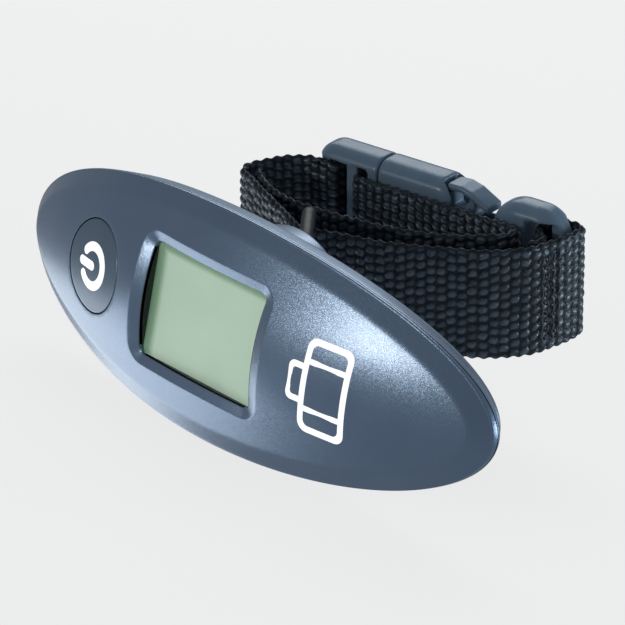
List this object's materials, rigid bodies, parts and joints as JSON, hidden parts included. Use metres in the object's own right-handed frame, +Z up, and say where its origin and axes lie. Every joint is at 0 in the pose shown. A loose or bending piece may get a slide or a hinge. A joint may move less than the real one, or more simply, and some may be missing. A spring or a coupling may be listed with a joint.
{
  "type": "luggage scale",
  "caption": "Arched oval digital luggage scale with display and power button, steel load cell, swivelling rear eye and a webbing strap with side release buckle.",
  "frame": {"origin": "middle of the parting line between the housing halves, on the load axis of the swivel", "axes": "+X along the housing, from the button end to the marked end; -Y out of the display face; +Z up across the housing"},
  "size_m": [0.145, 0.0876, 0.0524],
  "materials": {
    "shell_front": "satin metallic slate blue over moulded plastic",
    "shell_rear": "satin slate blue moulded plastic",
    "bezel": "black moulded",
    "button": "satin slate blue",
    "mark": "white print",
    "lens": "clear",
    "lcd": "pale green reflective display",
    "board": "solder mask",
    "chip": "moulded package",
    "parts": "tinned ends",
    "elastomer": "soft strips",
    "switch": "moulded",
    "cream": "moulded",
    "steel": "brushed",
    "zinc": "zinc plated",
    "brass": "turned",
    "foil": "polyimide foil",
    "wire": "insulation",
    "link": "black coated steel",
    "eye": "satin slate blue",
    "webbing": "woven polypropylene",
    "thread": "sewn",
    "buckle": "dark blue grey acetal"
  },
  "bodies": {
    "housing": {"front_shell": "shell_front", "rear_shell": "shell_rear", "lcd_frame": "bezel", "lcd_lens": "lens", "lcd_panel": "lcd", "contact_strips": "elastomer", "face_mark": "mark", "pcb": "board", "pcb_parts": "parts", "chip": "chip", "tact_switch": "switch", "load_cell": "steel", "strain_gauges": "foil", "load_cell_spacers": "brass", "load_cell_screws": "zinc", "gauge_wires": "wire", "hanger_washer": "zinc", "coin_cell": "steel", "contact_minus": "brass", "contact_plus": "brass", "battery_wires": "wire", "case_screws": "zinc"},
    "button": {"power_button": "button", "power_symbol": "mark"},
    "plunger": {"switch_plunger": "cream"},
    "battery_cap": {"battery_door": "shell_rear"},
    "eye": {"hanger_eye": "eye", "hanger_clip": "zinc"},
    "link": {"strap_link": "link"},
    "strap": {"strap_webbing": "webbing", "strap_stitching": "thread", "buckle_female": "buckle", "buckle_male": "buckle"},
    "finger_top": {"buckle_prong_top": "buckle"},
    "finger_bottom": {"buckle_prong_bottom": "buckle"}
  },
  "joints": [
    {"name": "power_button_press", "type": "slide", "parent": "housing", "child": "button", "axis": [0, 1, 0], "range_m": [0, 0.0005], "stiffness_N_per_m": 250},
    {"name": "switch_plunger_press", "type": "slide", "parent": "housing", "child": "plunger", "axis": [0, 1, 0], "range_m": [0, 0.0005]},
    {"name": "battery_door_turn", "type": "hinge", "parent": "housing", "child": "battery_cap", "pos_m": [0.045, 0.01, 0], "axis": [0, 1, 0], "range_deg": [0, 60]},
    {"name": "hanger_swivel", "type": "hinge", "parent": "housing", "child": "eye", "pos_m": [0, 0.01, 0], "axis": [0, 1, 0], "continuous": true},
    {"name": "link_swing", "type": "hinge", "parent": "eye", "child": "link", "pos_m": [0, 0.023, 0], "axis": [0, -0.2147, 0.9767], "range_deg": [-60, 12]},
    {"name": "strap_swing", "type": "hinge", "parent": "link", "child": "strap", "pos_m": [-0.01518, 0.03732, 0.00315], "axis": [0, -0.2147, 0.9767], "range_deg": [-4, 4]},
    {"name": "finger_top_squeeze", "type": "hinge", "parent": "strap", "child": "finger_top", "pos_m": [-0.02092, 0.06429, 0.01901], "axis": [-0.1994, 0.9571, 0.2104], "range_deg": [0, 5], "stiffness_Nm_per_rad": 0.03},
    {"name": "finger_bottom_squeeze", "type": "hinge", "parent": "strap", "child": "finger_bottom", "pos_m": [-0.02092, 0.06846, 0.00006], "axis": [0.1994, -0.9571, -0.2104], "range_deg": [0, 5], "stiffness_Nm_per_rad": 0.03}
  ],
  "couplings": [
    {"joint": "switch_plunger_press", "follows": "power_button_press", "ratio": 1},
    {"joint": "finger_bottom_squeeze", "follows": "finger_top_squeeze", "ratio": 1}
  ]
}
